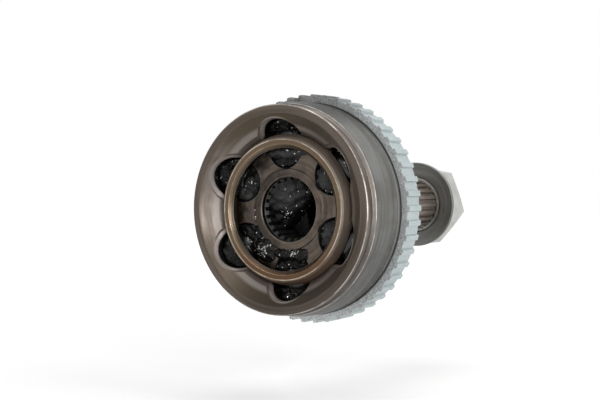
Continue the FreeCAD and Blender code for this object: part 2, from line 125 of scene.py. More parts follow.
def fade_of(tree, value, start, end, low=0.0, high=1.0):
    """Smooth step from low to high while the value goes from start to end."""
    node = tree.nodes.new("ShaderNodeMapRange")
    node.interpolation_type = "SMOOTHSTEP"
    for socket, source in zip(node.inputs, (value, start, end, low, high)):
        feed(tree, source, socket)
    return node.outputs[0]


def mix_of(tree, factor, first, second, blend="MIX"):
    node = tree.nodes.new("ShaderNodeMix")
    node.data_type = "RGBA"
    node.blend_type = blend
    feed(tree, factor, node.inputs[0])
    feed(tree, first, node.inputs[6])
    feed(tree, second, node.inputs[7])
    return node.outputs[2]


def length_of(tree, first, second):
    squares = math_of(tree, "ADD", times(tree, first, first),
                      times(tree, second, second))
    return math_of(tree, "SQRT", squares)


def noise_of(tree, place, scale, detail=2.0, roughness=0.55):
    node = tree.nodes.new("ShaderNodeTexNoise")
    feed(tree, place, node.inputs["Vector"])
    feed(tree, scale, node.inputs["Scale"])
    node.inputs["Detail"].default_value = detail
    node.inputs["Roughness"].default_value = roughness
    return node.outputs["Fac"]


def new_group(name, inputs, outputs):
    """Shader node group with number inputs and outputs, and its two end nodes."""
    tree = bpy.data.node_groups.new(name, "ShaderNodeTree")
    for label, value in inputs.items():
        socket = tree.interface.new_socket(label, in_out="INPUT", socket_type="NodeSocketFloat")
        socket.default_value = value
    for label in outputs:
        tree.interface.new_socket(label, in_out="OUTPUT", socket_type="NodeSocketFloat")
    return tree, tree.nodes.new("NodeGroupInput"), tree.nodes.new("NodeGroupOutput")


def use_group(tree, group, **inputs):
    node = tree.nodes.new("ShaderNodeGroup")
    node.node_tree = group
    for label, source in inputs.items():
        feed(tree, source, node.inputs[label])
    return node.outputs


def make_turned_place():
    """Radius, height along the axis, direction round it and distance over the floor."""
    tree, _, ends = new_group(
        "turned_place", {}, ["Radius", "Along", "Cosine", "Sine", "Across Floor"])
    split = tree.nodes.new("ShaderNodeSeparateXYZ")
    tree.links.new(tree.nodes.new("ShaderNodeTexCoord").outputs["Object"], split.inputs[0])
    across, along, upward = split.outputs
    radius = math_of(tree, "MAXIMUM", length_of(tree, across, upward), 0.0001)
    feed(tree, radius, ends.inputs["Radius"])
    feed(tree, along, ends.inputs["Along"])
    feed(tree, length_of(tree, across, along), ends.inputs["Across Floor"])
    feed(tree, math_of(tree, "DIVIDE", across, radius), ends.inputs["Cosine"])
    feed(tree, math_of(tree, "DIVIDE", upward, radius), ends.inputs["Sine"])
    return tree


def make_turning_marks():
    """Grooves that a lathe tool leaves, long round the axis and narrow across it."""
    tree, starts, ends = new_group(
        "turning_marks", {"Pitch": 0.0005, "Reach": 2.0}, ["Fine", "Broad"])
    place = use_group(tree, turned_place)
    run = math_of(tree, "ADD", place["Along"], times(tree, place["Radius"], 1.37))
    lines = math_of(tree, "DIVIDE", run, starts.outputs["Pitch"])
    for label, share, reach in (("Fine", 1.0, 1.0), ("Broad", 0.16, 0.5)):
        vector = tree.nodes.new("ShaderNodeCombineXYZ")
        length = times(tree, starts.outputs["Reach"], reach)
        feed(tree, times(tree, place["Cosine"], length), vector.inputs[0])
        feed(tree, times(tree, place["Sine"], length), vector.inputs[1])
        feed(tree, times(tree, lines, share), vector.inputs[2])
        marks = noise_of(tree, vector.outputs[0], 1.0, 3.0)
        feed(tree, fade_of(tree, marks, 0.28, 0.72), ends.inputs[label])
    return tree


def make_edge_wear():
    """Bright line along edges that handling has rubbed, broken up along its length."""
    tree, starts, ends = new_group("edge_wear", {"Width": 0.0004, "Grain": 900.0}, ["Mask"])
    rounded = tree.nodes.new("ShaderNodeBevel")
    rounded.samples = 6
    feed(tree, starts.outputs["Width"], rounded.inputs["Radius"])
    plain = tree.nodes.new("ShaderNodeNewGeometry")
    compare = tree.nodes.new("ShaderNodeVectorMath")
    compare.operation = "DOT_PRODUCT"
    tree.links.new(rounded.outputs[0], compare.inputs[0])
    tree.links.new(plain.outputs["Normal"], compare.inputs[1])
    edge = fade_of(tree, compare.outputs["Value"], 0.985, 0.90)
    place = tree.nodes.new("ShaderNodeTexCoord").outputs["Object"]
    broken = fade_of(tree, noise_of(tree, place, starts.outputs["Grain"], 3.0), 0.30, 0.55)
    feed(tree, times(tree, edge, broken), ends.inputs["Mask"])
    return tree


def make_crevice():
    """Old oil and dirt with painted shade, darkest where surfaces shelter each other."""
    tree, starts, ends = new_group("crevice_dirt_and_shade", {"Reach": 0.003}, ["Mask"])
    open_sky = tree.nodes.new("ShaderNodeAmbientOcclusion")
    open_sky.samples = 8
    feed(tree, starts.outputs["Reach"], open_sky.inputs["Distance"])
    feed(tree, fade_of(tree, open_sky.outputs["AO"], 0.80, 0.30), ends.inputs["Mask"])
    return tree


def make_worn_circle():
    """Bright line along a turned corner, given by its radius and height."""
    tree, starts, ends = new_group(
        "worn_circle", {"Corner Radius": 0.04, "Corner Height": 0.0, "Width": 0.0004}, ["Mask"])
    place = use_group(tree, turned_place)
    outward = math_of(tree, "SUBTRACT", place["Radius"], starts.outputs["Corner Radius"])
    along = math_of(tree, "SUBTRACT", place["Along"], starts.outputs["Corner Height"])
    away = length_of(tree, outward, along)
    line = fade_of(tree, away, starts.outputs["Width"],
                   times(tree, starts.outputs["Width"], 0.3))
    coordinates = tree.nodes.new("ShaderNodeTexCoord").outputs["Object"]
    broken = fade_of(tree, noise_of(tree, coordinates, 130.0, 4.0, 0.65), 0.36, 0.60, 0.25, 1.0)
    feed(tree, times(tree, line, broken), ends.inputs["Mask"])
    return tree


def make_stain():
    """Patches where a film has run together or dried off."""
    tree, starts, ends = new_group("stain", {"Scale": 60.0}, ["Mask"])
    place = tree.nodes.new("ShaderNodeTexCoord").outputs["Object"]
    patches = noise_of(tree, place, starts.outputs["Scale"], 5.0, 0.62)
    feed(tree, fade_of(tree, patches, 0.40, 0.64), ends.inputs["Mask"])
    return tree


def make_track_distance():
    """Distance from the wall of the nearest ball track, inside negative."""
    tree, starts, ends = new_group("track_distance", {"Offset": 0.004}, ["Distance"])
    place = use_group(tree, turned_place)
    angle = math_of(tree, "ARCTAN2", place["Sine"], place["Cosine"])
    turned = math_of(tree, "ADD", angle, track_spacing / 2 - first_track_angle)
    folded = math_of(tree, "SUBTRACT", math_of(tree, "FLOORED_MODULO", turned, track_spacing),
                     track_spacing / 2)
    outward = times(tree, place["Radius"], math_of(tree, "COSINE", folded))
    sideways = times(tree, place["Radius"], math_of(tree, "SINE", folded))
    along = math_of(tree, "ADD", place["Along"], starts.outputs["Offset"])
    ring = math_of(tree, "SUBTRACT", length_of(tree, outward, along), track_circle_radius)
    tube = math_of(tree, "SUBTRACT", length_of(tree, ring, sideways), track_tube_radius)
    feed(tree, tube, ends.inputs["Distance"])
    return tree


def start_material(name, metallic):
    material = bpy.data.materials.new(name)
    material.use_nodes = True
    shader = material.node_tree.nodes["Principled BSDF"]
    shader.inputs["Metallic"].default_value = metallic
    return material, material.node_tree, shader


def raise_marks(tree, shader, height, depth, strength=1.0):
    """Bump whose full height is a depth in metres."""
    bump = tree.nodes.new("ShaderNodeBump")
    bump.inputs["Distance"].default_value = depth
    bump.inputs["Strength"].default_value = strength
    feed(tree, height, bump.inputs["Height"])
    tree.links.new(bump.outputs[0], shader.inputs["Normal"])


def finish_node(name, material):
    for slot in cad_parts[name].material_slots:
        slot.material = material


turned_place = make_turned_place()
turning_marks = make_turning_marks()
edge_wear = make_edge_wear()
crevice_dirt_and_shade = make_crevice()
worn_circle = make_worn_circle()
stain = make_stain()
track_distance = make_track_distance()


def make_bell_steel():
    material, tree, shader = start_material("bell_steel", 1.0)
    place = use_group(tree, turned_place)
    radius, along, sine = place["Radius"], place["Along"], place["Sine"]
    marks = use_group(tree, turning_marks, Pitch=0.00042, Reach=2.2)
    on_side = times(tree, fade_of(tree, radius, side_start_radius, side_start_radius + 0.0015),
                    fade_of(tree, along, mouth_height + 0.0045, mouth_height + 0.0065))
    light_tone = mix_of(tree, on_side, bell_steel_colour, bell_side_colour)
    dark_tone = mix_of(tree, on_side, bell_shade_colour, bell_side_shade_colour)
    fine_share = fade_of(tree, on_side, 0.0, 1.0, 0.40, 0.12)
    streaks = math_of(tree, "SUBTRACT", marks["Broad"],
                      times(tree, marks["Fine"], fine_share))
    colour = mix_of(tree, fade_of(tree, streaks, -0.25, 0.75), dark_tone, light_tone)

    inside_flare = fade_of(tree, radius, flare_end_radius + 0.0006, flare_end_radius - 0.0004)
    in_mouth = fade_of(tree, along, throat_start, throat_end)
    flare = times(tree, inside_flare, in_mouth)
    oil = use_group(tree, stain, Scale=70.0)["Mask"]
    # Painted shade: the flare darker at its top and bottom and the rim face darker; the stain
    # mask adds real patches of oil.
    flare_top_bottom_shade = fade_of(tree, math_of(tree, "ABSOLUTE", sine), 0.50, 0.96)
    oil_and_shade = math_of(tree, "MAXIMUM", times(tree, flare_top_bottom_shade, flare),
                    times(tree, oil, fade_of(tree, on_side, 0.0, 1.0, 0.5, 0.3)))
    on_rim = fade_of(tree, along, mouth_height + 0.0004, mouth_height + 0.0002)
    oil_and_shade = math_of(tree, "MAXIMUM", oil_and_shade, times(tree, on_rim, 0.6))
    bronze = times(tree, use_group(tree, stain, Scale=38.0)["Mask"], flare)
    colour = mix_of(tree, times(tree, bronze, 0.70), colour, bell_bronze_colour)
    mottle = times(tree, use_group(tree, stain, Scale=210.0)["Mask"], flare)
    colour = mix_of(tree, times(tree, mottle, 0.35), colour, bell_shade_colour)
    colour = mix_of(tree, oil_and_shade, colour, bell_oil_and_shade_colour)
    # Painted shade: darker towards the lower right, most on the flare, and darker along the top
    # of the outside.
    low_right = math_of(
        tree, "SUBTRACT", times(tree, place["Cosine"], shade_slope_across),
        times(tree, sine, shade_slope_down))
    low_right_shade = times(tree, fade_of(tree, low_right, 0.40, 0.88),
                     fade_of(tree, flare, 0.0, 1.0, 0.34, 0.42))
    side_top_shade = times(tree, fade_of(tree, sine, 0.70, 0.97),
                   times(tree, on_side, 0.85))
    colour = mix_of(tree, math_of(tree, "MAXIMUM", low_right_shade, side_top_shade), colour, grease_colour)

    track = use_group(tree, track_distance, Offset=track_offset)["Distance"]
    near_track = fade_of(tree, track, 0.0019, 0.0010)
    near_land = fade_of(tree, radius, land_radius + 0.0017, land_radius)
    near_track = math_of(tree, "MAXIMUM", near_track, times(tree, near_land, 0.7))
    # Rubbed lip round the tracks and the land, paler and less metallic, partly a painted
    # highlight.
    lip = times(tree, near_track, times(tree, in_mouth,
                                                       inside_flare))
    colour = mix_of(tree, times(tree, lip, 0.85), colour, bell_lip_colour)

    forged = times(tree, fade_of(tree, along, forged_start, forged_start + 0.0008),
                   fade_of(tree, radius, journal_radius, journal_radius + 0.002))
    scale_grain = noise_of(tree, tree.nodes.new("ShaderNodeTexCoord").outputs["Object"],
                           850.0, 4.0)
    forged_tone = mix_of(tree, fade_of(tree, scale_grain, 0.35, 0.7), bell_forged_colour,
                         bell_shade_colour)
    colour = mix_of(tree, forged, colour, forged_tone)

    splined = times(tree, fade_of(tree, along, spline_start, spline_start + 0.0020),
                    fade_of(tree, radius, spline_radius + 0.0012, spline_radius + 0.0002))
    colour = mix_of(tree, splined, colour, bell_spline_colour)

    wear = use_group(tree, edge_wear, Width=0.00025, Grain=420.0)["Mask"]
    wear = times(tree, wear, 0.35)
    for corner_radius, corner_height in worn_circles:
        line = use_group(tree, worn_circle, **{
            "Corner Radius": corner_radius, "Corner Height": corner_height,
            "Width": 0.00030})["Mask"]
        wear = math_of(tree, "MAXIMUM", wear, line)
    colour = mix_of(tree, times(tree, wear, 0.85), colour, bell_worn_colour)
    ring_seat = fade_of(tree, along, ring_seat_start, ring_seat_start + 0.0002)
    ring_seat = times(tree, ring_seat, fade_of(
        tree, radius, ring_seat_radius, ring_seat_radius + 0.0002))
    # Painted shade and old oil in recesses, by how sheltered each point is.
    dirt_and_shade = use_group(tree, crevice_dirt_and_shade, Reach=0.0020)["Mask"]
    dirt_and_shade = times(tree, dirt_and_shade, math_of(tree, "SUBTRACT", 1.0, ring_seat))
    colour = mix_of(tree, times(tree, dirt_and_shade, 0.45), colour, grease_colour)
    colour = mix_of(tree, ring_seat, colour, bell_seat_colour)

    on_track = fade_of(tree, track, 0.00025, 0.00010)
    ahead = fade_of(tree, along, socket_floor_height, socket_floor_height - 0.001)
    deep = times(tree, fade_of(tree, radius, socket_radius + 0.0004, socket_radius),
                 times(tree, fade_of(
                       tree, along, socket_mouth_height - 0.0010, socket_mouth_height), ahead))
    greased = math_of(tree, "MAXIMUM", deep, times(tree, on_track, ahead))
    colour = mix_of(tree, greased, colour, grease_colour)
    feed(tree, colour, shader.inputs["Base Color"])
    metal = math_of(tree, "SUBTRACT", 0.92, times(tree, lip, 0.35))
    metal = math_of(tree, "SUBTRACT", metal, times(tree, ring_seat, 0.80))
    feed(tree, times(tree, metal, math_of(tree, "SUBTRACT", 1.0, greased)),
         shader.inputs["Metallic"])
    rough = math_of(tree, "ADD", 0.30, times(tree, marks["Fine"], 0.14))
    rough = math_of(tree, "ADD", rough, times(tree, forged, 0.16))
    rough = math_of(tree, "ADD", rough, times(tree, on_side, 0.09))
    rough = math_of(tree, "SUBTRACT", rough, times(tree, greased, 0.16))
    feed(tree, rough, shader.inputs["Roughness"])

    turn = math_of(tree, "ARCTAN2", sine, place["Cosine"])
    climb = times(tree, turn, thread_pitch / (2 * math.pi))
    thread_wave = math_of(tree, "PINGPONG", math_of(tree, "ADD", along, climb),
                          thread_pitch / 2)
    thread_height = math_of(tree, "DIVIDE", thread_wave, thread_pitch / 2)
    threaded = fade_of(tree, along, thread_start, thread_start + 0.0004)
    turned_height = times(tree, marks["Fine"], fade_of(
        tree, on_side, 0.0, 1.0, 0.012, 0.004))
    grain_height = times(tree, times(tree, scale_grain, forged), 0.10)
    height = math_of(tree, "ADD", turned_height, grain_height)
    height = math_of(tree, "ADD", height, times(tree, thread_height, threaded))
    lip_height = fade_of(tree, track, 0.0017, -0.0001)
    height = math_of(tree, "ADD", height, times(
        tree, lip_height, times(tree, in_mouth, lip_roundness)))
    raise_marks(tree, shader, height, thread_depth)
    return material


bell_steel = make_bell_steel()
finish_node("outer_race", bell_steel)


# Toothed speed ring
# A turned and broached steel ring pressed on the back of the bell. Pale zinc plate covers it,
# dull and slightly green, with road dirt and painted shade in the spaces between its teeth, and
# painted shade over its upper left.

ring_zinc_colour = (0.540, 0.605, 0.615)
ring_dull_colour = (0.400, 0.448, 0.454)
ring_dirt_and_shade_colour = (0.064, 0.056, 0.050)
ring_front_colour = (0.640, 0.665, 0.670)
ring_front_dark_colour = (0.300, 0.303, 0.303)
ring_worn_colour = (0.70, 0.74, 0.74)
ring_front_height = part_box("abs_ring")[0].y


def make_ring_zinc():
    material, tree, shader = start_material("ring_zinc", 0.75)
    place = use_group(tree, turned_place)
    coordinates = tree.nodes.new("ShaderNodeTexCoord").outputs["Object"]
    crystals = fade_of(tree, noise_of(tree, coordinates, 1500.0, 4.0, 0.7), 0.35, 0.68)
    cloud = fade_of(tree, noise_of(tree, coordinates, 90.0, 4.0), 0.38, 0.66)
    colour = mix_of(tree, crystals, ring_dull_colour, ring_zinc_colour)
    colour = mix_of(tree, times(tree, cloud, 0.5), colour, ring_zinc_colour)
    front = fade_of(tree, place["Along"], ring_front_height + 0.0003, ring_front_height + 0.0001)
    speckle = fade_of(tree, noise_of(tree, coordinates, 2600.0, 2.0, 0.8), 0.42, 0.58)
    front_tone = mix_of(tree, speckle, ring_front_dark_colour, ring_front_colour)
    colour = mix_of(tree, times(tree, front, 0.9), colour, front_tone)
    # Painted shade over the upper left of the ring, patchy.
    leftward = math_of(tree, "SUBTRACT", times(tree, place["Sine"], 0.62),
                       times(tree, place["Cosine"], 0.78))
    upper_left_shade = times(tree, fade_of(tree, leftward, -0.05, 0.55),
                   fade_of(tree, place["Sine"], 0.10, 0.60))
    patchy = math_of(tree, "ADD", 0.55, times(tree, cloud, 0.45))
    colour = mix_of(tree, times(tree, upper_left_shade, patchy), colour, ring_dirt_and_shade_colour)
    # Painted shade and road dirt between the teeth and in other recesses.
    dirt_and_shade = use_group(tree, crevice_dirt_and_shade, Reach=0.0016)["Mask"]
    colour = mix_of(tree, times(tree, dirt_and_shade, 0.8), colour, ring_dirt_and_shade_colour)
    wear = use_group(tree, edge_wear, Width=0.00025, Grain=500.0)["Mask"]
    colour = mix_of(tree, times(tree, wear, 0.6), colour, ring_worn_colour)
    feed(tree, colour, shader.inputs["Base Color"])
    feed(tree, math_of(tree, "ADD", 0.40, times(tree, crystals, 0.16)),
         shader.inputs["Roughness"])
    raise_marks(tree, shader, crystals, 0.00003)
    return material


ring_zinc = make_ring_zinc()
finish_node("abs_ring", ring_zinc)


# Inner race
# Star-shaped race of hardened steel that sits on the splined end of the shaft. Its faces are
# turned and left brown-grey, its six tracks are ground, and grease covers most of it. Painted
# shade darkens the left of its face and of its boss.

race_colour = (0.150, 0.122, 0.100)
race_shade_colour = (0.088, 0.069, 0.057)
race_worn_colour = (0.315, 0.270, 0.232)
race_front_height = -0.008
race_bore_radius = 0.0134
race_bore_edge = 0.0138
race_boss_front = -0.00835
race_boss_radius = 0.0172


def make_race_steel():
    material, tree, shader = start_material("race_steel", 1.0)
    place = use_group(tree, turned_place)
    marks = use_group(tree, turning_marks, Pitch=0.00030, Reach=3.0)
    coordinates = tree.nodes.new("ShaderNodeTexCoord").outputs["Object"]
    grain = fade_of(tree, noise_of(tree, coordinates, 1700.0, 4.0, 0.7), 0.35, 0.70)
    colour = mix_of(tree, marks["Broad"], race_shade_colour, race_colour)
    colour = mix_of(tree, times(tree, grain, 0.5), colour, race_shade_colour)
    wear = use_group(tree, edge_wear, Width=0.00025, Grain=600.0)["Mask"]
    rubbed = use_group(tree, worn_circle, **{
        "Corner Radius": race_bore_edge, "Corner Height": race_boss_front,
        "Width": 0.00040})["Mask"]
    wear = math_of(tree, "MAXIMUM", wear, rubbed)
    colour = mix_of(tree, times(tree, wear, 0.7), colour, race_worn_colour)
    film = use_group(tree, stain, Scale=140.0)["Mask"]
    track = use_group(tree, track_distance, Offset=-track_offset)["Distance"]
    on_track = fade_of(tree, track, 0.00030, 0.00010)
    in_bore = fade_of(tree, place["Radius"], race_bore_radius, race_bore_radius - 0.0002)
    behind = fade_of(tree, place["Along"], race_front_height + 0.0012, race_front_height + 0.0022)
    greased = math_of(tree, "MAXIMUM", on_track, math_of(tree, "MAXIMUM", in_bore, behind))
    # Painted shade: the left of the race face and of its boss darker, over real patches of grease
    # film.
    leftward = fade_of(tree, place["Cosine"], 0.1, -0.7, 0.35, 0.80)
    greased_and_shaded = math_of(tree, "MAXIMUM", greased, times(tree, film, leftward))
    boss = fade_of(tree, place["Radius"], race_boss_radius + 0.0008, race_boss_radius)
    left_boss_shade = times(tree, boss, fade_of(
        tree, place["Cosine"], 0.0, -0.6, 0.0, 0.55))
    greased_and_shaded = math_of(tree, "MAXIMUM", greased_and_shaded, left_boss_shade)
    colour = mix_of(tree, greased_and_shaded, colour, grease_colour)
    feed(tree, colour, shader.inputs["Base Color"])
    feed(tree, math_of(tree, "SUBTRACT", 1.0, greased), shader.inputs["Metallic"])
    rough = math_of(tree, "SUBTRACT", 0.46, times(tree, greased_and_shaded, 0.22))
    rough = math_of(tree, "ADD", rough, times(tree, in_bore, 0.30))
    feed(tree, rough, shader.inputs["Roughness"])
    raise_marks(tree, shader, math_of(tree, "ADD", grain, marks["Fine"]), 0.000018)
    return material


finish_node("inner_race", make_race_steel())


# Cage
# A spherical band of case-hardened steel with a window for each ball. Its ground ends have
# a straw to gold tint from tempering, and its polished outside slides in the bell.

cage_face_colour = (0.128, 0.090, 0.060)
cage_gold_colour = (0.150, 0.108, 0.062)
cage_outer_colour = (0.235, 0.196, 0.166)
cage_low_tint = (0.72, 0.50, 0.33)
cage_worn_colour = (0.585, 0.517, 0.435)
cage_worn_circles = ((0.0268, -0.0138), (0.0290, -0.0138))
cage_outer_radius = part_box("cage")[1].x
cage_outside_start = 0.0291
cage_lip_radius = 0.0268
cage_inside_radius = 0.0259
cage_back_height = -0.0088


def make_cage_steel():
    material, tree, shader = start_material("cage_steel", 1.0)
    place = use_group(tree, turned_place)
    marks = use_group(tree, turning_marks, Pitch=0.00022, Reach=2.6)
    coordinates = tree.nodes.new("ShaderNodeTexCoord").outputs["Object"]
    tint = fade_of(tree, noise_of(tree, coordinates, 110.0, 3.0), 0.36, 0.66)
    outside = fade_of(tree, place["Radius"], cage_outside_start, cage_outside_start + 0.0005)
    pale = times(tree, outside, fade_of(tree, marks["Broad"], 0.0, 1.0, 0.55, 1.0))
    colour = mix_of(tree, pale, cage_face_colour, cage_outer_colour)
    inner = fade_of(tree, place["Radius"], cage_lip_radius + 0.0017, cage_lip_radius)
    golden = times(tree, math_of(tree, "ADD", 0.35, times(tree, tint, 0.65)), inner)
    colour = mix_of(tree, golden, colour, cage_gold_colour)
    colour = mix_of(tree, times(tree, marks["Fine"], 0.35), colour,
                    cage_face_colour)
    # Warmer and darker towards the bottom.
    underneath = fade_of(tree, place["Sine"], -0.30, -0.90, 0.0, 0.75)
    colour = mix_of(tree, underneath, colour, cage_low_tint, "MULTIPLY")
    # Painted shade in the recesses of the cage, in grease colour.
    dirt_and_shade = use_group(tree, crevice_dirt_and_shade, Reach=0.0012)["Mask"]
    colour = mix_of(tree, times(tree, dirt_and_shade, 0.20), colour, grease_colour)
    wear = use_group(tree, edge_wear, Width=0.0003, Grain=380.0)["Mask"]
    for corner_radius, corner_height in cage_worn_circles:
        line = use_group(tree, worn_circle, **{
            "Corner Radius": corner_radius, "Corner Height": corner_height,
            "Width": 0.00028})["Mask"]
        wear = math_of(tree, "MAXIMUM", wear, line)
    colour = mix_of(tree, times(tree, wear, 0.9), colour, cage_worn_colour)
    # Grease film and painted shade on the inside and back of the cage.
    shaded = fade_of(tree, place["Radius"], cage_inside_radius + 0.0005, cage_inside_radius)
    behind = math_of(tree, "MAXIMUM", shaded, fade_of(
        tree, place["Along"], cage_back_height - 0.0010, cage_back_height))
    film = times(tree, behind, math_of(tree, "ADD", 0.55, times(tree, tint, 0.4)))
    colour = mix_of(tree, film, colour, grease_colour)
    feed(tree, colour, shader.inputs["Base Color"])
    metal = math_of(tree, "SUBTRACT", 0.88, times(tree, outside, 0.38))
    feed(tree, times(tree, metal, math_of(tree, "SUBTRACT", 1.0, film)),
         shader.inputs["Metallic"])
    rough = math_of(tree, "ADD", 0.24, times(tree, marks["Fine"], 0.12))
    feed(tree, math_of(tree, "ADD", rough, times(tree, outside, 0.18)),
         shader.inputs["Roughness"])
    raise_marks(tree, shader, marks["Fine"], 0.000012)
    return material


finish_node("cage", make_cage_steel())


# Balls
# Six polished bearing balls, one in each window of the cage. Each carries a coat of black
# grease, so only dark gleams of them show.

ball_steel_colour = (0.150, 0.148, 0.144)
ball_names = [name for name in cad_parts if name.startswith("ball_")]


def make_ball_steel():
    material, tree, shader = start_material("ball_steel", 1.0)
    coordinates = tree.nodes.new("ShaderNodeTexCoord").outputs["Object"]
    coat = fade_of(tree, noise_of(tree, coordinates, 260.0, 4.0, 0.65), 0.72, 0.54)
    feed(tree, mix_of(tree, coat, ball_steel_colour, grease_colour), shader.inputs["Base Color"])
    feed(tree, math_of(tree, "SUBTRACT", 1.0, coat), shader.inputs["Metallic"])
    feed(tree, math_of(tree, "ADD", 0.10, times(tree, coat, 0.10)),
         shader.inputs["Roughness"])
    raise_marks(tree, shader, coat, 0.00010)
    return material


ball_steel = make_ball_steel()
for ball_name in ball_names:
    finish_node(ball_name, ball_steel)


# Grease
# Black molybdenum grease packed round the balls, in the tracks, on the arms of the inner
# race and in its bore. It is stiff and glossy and stands in lumps with fine bright gleams.

grease_clearance = 0.0003
cage_clearance = 0.0012
bead_density = 1900000.0
bead_radius = 0.00034
bead_cluster_scale = 420.0
grease_specular = 0.13
race_radius = 0.0275
bore_grease_radius = 0.0131
gleam_bright_colour = (0.46, 0.455, 0.44)
gleam_dull_colour = (0.30, 0.29, 0.27)
grease_dull_sheen_colour = (0.048, 0.050, 0.048)
gleam_places = (
    (0.0235, 151, -0.0070, 0.0016),
    (0.0325, 158, -0.0100, 0.0014),
    (0.0260, -146, -0.0070, 0.0018),
    (0.0210, -125, -0.0100, 0.0026),
    (0.0184, -79, -0.0095, 0.0022),
    (0.0064, 135, 0.0020, 0.0018),
    (0.0086, -161, 0.0020, 0.0020),
    (0.0310, 34, -0.0060, 0.0012),
    (0.0330, 95, -0.0110, 0.0014),
    (0.0370, -138, -0.0120, 0.0020),
    (0.0320, -85, -0.0090, 0.0020),
    (0.0310, -25, -0.0070, 0.0012),
    (0.0125, -130, -0.0030, 0.0022),
    (0.0173, -170, -0.0085, 0.0030),
)
dull_sheen_places = (
    ((0.000, -0.009, 0.024), (0.010, 0.004, 0.003)),
    ((-0.022, -0.008, 0.0067), (0.004, 0.004, 0.003)),
    ((-0.004, -0.001, 0.006), (0.008, 0.007, 0.006)),
    ((0.0172, -0.007, 0.012), (0.004, 0.004, 0.004)),
    ((0.0184, -0.007, -0.0102), (0.004, 0.004, 0.004)),
    ((-0.030, -0.010, -0.016), (0.004, 0.004, 0.004)),
)


def make_grease():
    material, tree, shader = start_material("black_grease", 0.0)
    coordinates = tree.nodes.new("ShaderNodeTexCoord").outputs["Object"]
    lumps = noise_of(tree, coordinates, 520.0, 4.0, 0.6)
    beads = noise_of(tree, coordinates, 1700.0, 3.0, 0.6)
    marked = tree.nodes.new("ShaderNodeAttribute")
    marked.attribute_name = "dull_sheen"
    patch = fade_of(tree, noise_of(tree, coordinates, 320.0, 3.0), 0.35, 0.60, 0.45, 1.0)
    # Matt grey grease with a painted sheen at the listed places.
    dull_sheen_share = times(tree, marked.outputs["Fac"], patch)
    feed(tree, mix_of(tree, dull_sheen_share, grease_colour, grease_dull_sheen_colour),
         shader.inputs["Base Color"])
    gloss = fade_of(tree, lumps, 0.3, 0.7, 0.06, 0.18)
    feed(tree, math_of(tree, "ADD", gloss, times(tree, dull_sheen_share, 0.30)),
         shader.inputs["Roughness"])
    shader.inputs["Specular IOR Level"].default_value = grease_specular
    rough_place = fade_of(tree, noise_of(tree, coordinates, 170.0, 2.0), 0.47, 0.60)
    height = math_of(tree, "ADD", lumps, times(tree, beads, times(tree, rough_place, 0.8)))
    raise_marks(tree, shader, height, 0.00030)
    return material


black_grease = make_grease()


def lumpiness(places, size, seed):
    """Rounded lumps of about one size, from 0 to 1, the same on every run."""
    draws = np.random.default_rng(seed)
    total = np.zeros(len(places))
    for _ in range(7):
        direction = draws.normal(size=3)
        direction *= 2 * math.pi / size / np.linalg.norm(direction)
        total += np.abs(np.sin(places @ direction + draws.uniform(0, 2 * math.pi)))
    return total / 7


def ball_skin(subdivisions):
    work = bmesh.new()
    bmesh.ops.create_icosphere(work, subdivisions=subdivisions, radius=1.0)
    work.verts.ensure_lookup_table()
    directions = np.array([vertex.co[:] for vertex in work.verts])
    faces = np.array([[vertex.index for vertex in face.verts] for face in work.faces])
    work.free()
    return directions, faces


def fill_space(middle, outside, reach, subdivisions=5):
    """Skin that reaches from a middle point as far as a space allows, all round."""
    directions, faces = ball_skin(subdivisions)
    lengths = np.zeros(len(directions))
    step = reach / 60
    going = np.ones(len(directions), bool)
    for _ in range(60):
        going &= outside(middle + directions * (lengths + step)[:, None]) < 0
        lengths = np.where(going, lengths + step, lengths)
    low, high = lengths, lengths + step
    for _ in range(8):
        centre = (low + high) / 2
        clear = outside(middle + directions * centre[:, None]) < 0
        low = np.where(clear, centre, low)
        high = np.where(clear, high, centre)
    return middle + directions * low[:, None], faces


def turn_round_axis(points, angle):
    turned = points.copy()
    turned[:, 0] = points[:, 0] * math.cos(angle) - points[:, 2] * math.sin(angle)
    turned[:, 2] = points[:, 0] * math.sin(angle) + points[:, 2] * math.cos(angle)
    return turned


def tube_wall(points, offset, radius):
    """Distance outside a ball track on the +X side, negative inside it."""
    ring = np.hypot(points[:, 0], points[:, 1] + offset) - track_circle_radius
    return np.hypot(ring, points[:, 2]) - radius


def dull_sheen(points):
    """How far the grease has gone matt grey with a painted sheen, from 0 to 1, by places on the
    joint.
    """
    total = np.zeros(len(points))
    for place, spread in dull_sheen_places:
        away = np.linalg.norm((points - np.array(place)) / np.array(spread), axis=1)
        total = np.maximum(total, np.clip(1.4 - away, 0.0, 1.0))
    return total


def gleam(points):
    """How thickly bright beads stand on the grease, from 0 to 1, by places on the joint."""
    total = np.full(len(points), 0.06)
    for radius, turn, along, spread in gleam_places:
        place = np.array([radius * math.cos(math.radians(turn)), along,
                          radius * math.sin(math.radians(turn))])
        away = np.linalg.norm(points - place, axis=1) / spread
        total = np.maximum(total, np.clip(1.5 - away, 0.0, 1.0))
    return total


def make_grease_gleam():
    """Wet flat beads that throw the lamps back."""
    material, tree, shader = start_material("grease_gleam", 1.0)
    coordinates = tree.nodes.new("ShaderNodeTexCoord").outputs["Object"]
    film = fade_of(tree, noise_of(tree, coordinates, 900.0, 2.0), 0.35, 0.65)
    feed(tree, mix_of(tree, film, gleam_dull_colour, gleam_bright_colour),
         shader.inputs["Base Color"])
    feed(tree, fade_of(tree, film, 0.0, 1.0, 0.14, 0.08), shader.inputs["Roughness"])
    return material


grease_gleam = make_grease_gleam()


